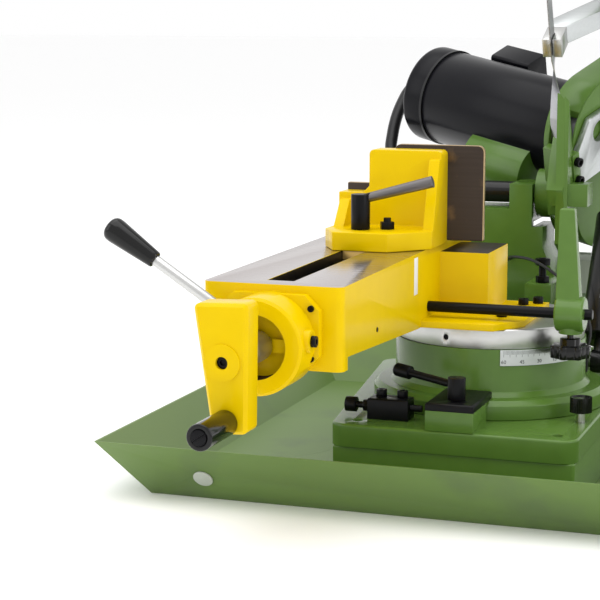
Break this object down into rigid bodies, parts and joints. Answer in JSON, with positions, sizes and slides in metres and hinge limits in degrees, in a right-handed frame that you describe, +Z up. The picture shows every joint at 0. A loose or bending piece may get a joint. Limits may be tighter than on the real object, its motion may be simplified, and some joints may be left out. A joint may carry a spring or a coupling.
{
  "type": "swivel-base band saw",
  "caption": "Metal-cutting band saw on a drip tray: raised saw bow with band wheels and motor, turntable with angle scale, crank vise with quick lever, bar stop.",
  "frame": {"origin": "on the swivel axis of the turntable, at the underside of the drip tray", "axes": "+Z up along the swivel axis, +X to the right as the operator stands, the way the bar is fed, +Y from the operator to the back, along the vise spindle"},
  "size_m": [0.835, 1.2391, 1.1671],
  "materials": {
    "tray_paint": "satin green enamel",
    "green_paint": "gloss green enamel on a casting",
    "yellow_paint": "gloss yellow enamel on a casting",
    "jaw_steel": "dark oiled steel with bright edges",
    "bright_steel": "turned and ground",
    "black_steel": "black oxide",
    "wheel_iron": "machined rim",
    "blade_steel": "spring steel",
    "motor_paint": "semi-gloss dark grey enamel",
    "cylinder_paint": "gloss black enamel",
    "scale_metal": "satin, engraved",
    "bracket_metal": "as cast and milled",
    "black_plastic": "moulded",
    "grey_plastic": "moulded",
    "black_rubber": "matt sheath",
    "brass_nut": "cast and machined"
  },
  "bodies": {
    "base": {"drip_tray": "tray_paint", "tray_plug": "grey_plastic", "pedestal": "green_paint", "base_plate": "green_paint", "base_bolts": "black_steel", "centre_post": "bright_steel", "set_screws": "black_steel", "clamp_plate": "black_steel", "mitre_stop_block": "black_steel", "cap_screws": "black_steel", "vise_bed": "yellow_paint", "fixed_jaw": "yellow_paint", "fixed_jaw_plate": "jaw_steel", "spindle_housing": "yellow_paint", "bar_stop_rod": "black_steel"},
    "turntable": {"turntable": "green_paint", "scale_plate": "scale_metal", "hinge_support": "green_paint", "hinge_shaft": "black_steel", "depth_stop_screw": "black_steel", "signal_cable": "black_rubber", "cylinder_foot_pin": "bright_steel", "control_box": "grey_plastic"},
    "saw_bow": {"bow_frame": "green_paint", "blade_cover": "green_paint", "cover_knobs": "black_plastic", "wheel_shafts": "bright_steel", "blade": "blade_steel", "rear_guide_arm": "bracket_metal", "rear_guide_block": "bright_steel", "gearbox": "green_paint", "motor_body": "motor_paint", "fan_cover": "black_plastic", "motor_conduit": "black_rubber", "bow_handle": "black_plastic", "cylinder_bracket": "bracket_metal"},
    "drive_wheel": {"drive_wheel": "wheel_iron"},
    "idler_wheel": {"idler_wheel": "wheel_iron"},
    "front_guide": {"front_guide_arm": "bracket_metal", "front_guide_block": "bright_steel"},
    "cylinder": {"feed_cylinder": "cylinder_paint"},
    "cylinder_rod": {"feed_rod": "bright_steel"},
    "moving_jaw": {"moving_jaw": "yellow_paint", "moving_jaw_plate": "jaw_steel", "jaw_nut": "brass_nut", "jaw_bolt": "black_steel"},
    "jaw_lever": {"jaw_clamp_lever": "bright_steel"},
    "crank": {"spindle": "bright_steel", "crank_arm": "yellow_paint", "crank_pins": "black_steel"},
    "crank_grip": {"crank_grip": "black_plastic"},
    "quick_lever": {"cam_sleeve": "yellow_paint", "quick_lever_rod": "bright_steel", "quick_lever_grip": "black_plastic"},
    "clamp_lever": {"clamp_lever": "black_steel"},
    "mitre_stop_screw": {"mitre_stop_screw": "black_steel"},
    "index_knob": {"index_knob": "black_plastic"},
    "bar_stop": {"bar_stop_arm": "green_paint"},
    "star_knob": {"star_knob": "black_plastic"},
    "tension_knob": {"tension_knob": "black_plastic"}
  },
  "joints": [
    {"name": "turntable_swivel", "type": "hinge", "parent": "base", "child": "turntable", "pos_m": [0, 0, 0.1], "axis": [0, 0, 1], "range_deg": [-60, 0]},
    {"name": "bow_hinge", "type": "hinge", "parent": "turntable", "child": "saw_bow", "pos_m": [0, 0.33, 0.312], "axis": [1, 0, 0], "range_deg": [0, 65]},
    {"name": "cylinder_swing", "type": "hinge", "parent": "turntable", "child": "cylinder", "pos_m": [0.115, 0.13, 0.115], "axis": [1, 0, 0], "range_deg": [0, 9.3]},
    {"name": "feed_rod_slide", "type": "slide", "parent": "cylinder", "child": "cylinder_rod", "axis": [0, 0.5471, 0.837], "range_m": [-0.0993, 0]},
    {"name": "drive_spin", "type": "hinge", "parent": "saw_bow", "child": "drive_wheel", "pos_m": [0.07973, 0.39137, 0.37813], "axis": [-0.8988, 0.3973, 0.1853], "continuous": true},
    {"name": "idler_spin", "type": "hinge", "parent": "saw_bow", "child": "idler_wheel", "pos_m": [0.07973, 0.13019, 0.93822], "axis": [-0.8988, 0.3973, 0.1853], "continuous": true},
    {"name": "front_guide_slide", "type": "slide", "parent": "saw_bow", "child": "front_guide", "axis": [0, 0.4226, -0.9063], "range_m": [0, 0.15]},
    {"name": "tension_knob_turn", "type": "hinge", "parent": "saw_bow", "child": "tension_knob", "pos_m": [0.10702, 0.11055, 1.08575], "axis": [0, -0.4226, 0.9063], "continuous": true},
    {"name": "crank_spin", "type": "hinge", "parent": "base", "child": "crank", "pos_m": [-0.134, -0.5, 0.225], "axis": [0, 1, 0], "range_deg": [-13680, 2100]},
    {"name": "jaw_slide", "type": "slide", "parent": "base", "child": "moving_jaw", "axis": [0, 1, 0], "range_m": [-0.191, 0.0295]},
    {"name": "crank_grip_turn", "type": "hinge", "parent": "crank", "child": "crank_grip", "pos_m": [-0.131, -0.6, 0.165], "axis": [0, 1, 0], "continuous": true},
    {"name": "quick_lever_swing", "type": "hinge", "parent": "base", "child": "quick_lever", "pos_m": [-0.134, -0.446, 0.225], "axis": [0, 1, 0], "range_deg": [-25, 28]},
    {"name": "jaw_lever_swing", "type": "hinge", "parent": "moving_jaw", "child": "jaw_lever", "pos_m": [-0.136, -0.112, 0.3], "axis": [0, 0, 1], "range_deg": [-60, 20]},
    {"name": "clamp_lever_swing", "type": "hinge", "parent": "base", "child": "clamp_lever", "pos_m": [0.005, -0.186, 0.12], "axis": [0, 0, 1], "range_deg": [-20, 90]},
    {"name": "mitre_stop_turn", "type": "hinge", "parent": "base", "child": "mitre_stop_screw", "pos_m": [-0.081, -0.164, 0.10175], "axis": [1, 0, 0], "range_deg": [-180, 180]},
    {"name": "index_knob_turn", "type": "hinge", "parent": "base", "child": "index_knob", "pos_m": [0.136, -0.11, 0.1], "axis": [0, 0, 1], "range_deg": [-180, 180]},
    {"name": "bar_stop_swing", "type": "hinge", "parent": "base", "child": "bar_stop", "pos_m": [0.118, -0.092, 0.213], "axis": [1, 0, 0], "range_deg": [-90, 0]},
    {"name": "star_knob_turn", "type": "hinge", "parent": "bar_stop", "child": "star_knob", "pos_m": [0.118, -0.092, 0.18], "axis": [0, 0, 1], "continuous": true}
  ],
  "couplings": [
    {"joint": "cylinder_swing", "follows": "bow_hinge", "ratio": 0.14271},
    {"joint": "feed_rod_slide", "follows": "bow_hinge", "m_per_rad": -0.087437},
    {"joint": "idler_spin", "follows": "drive_spin", "ratio": 1},
    {"joint": "jaw_slide", "follows": "crank_spin", "m_per_rad": 0.00079577}
  ]
}
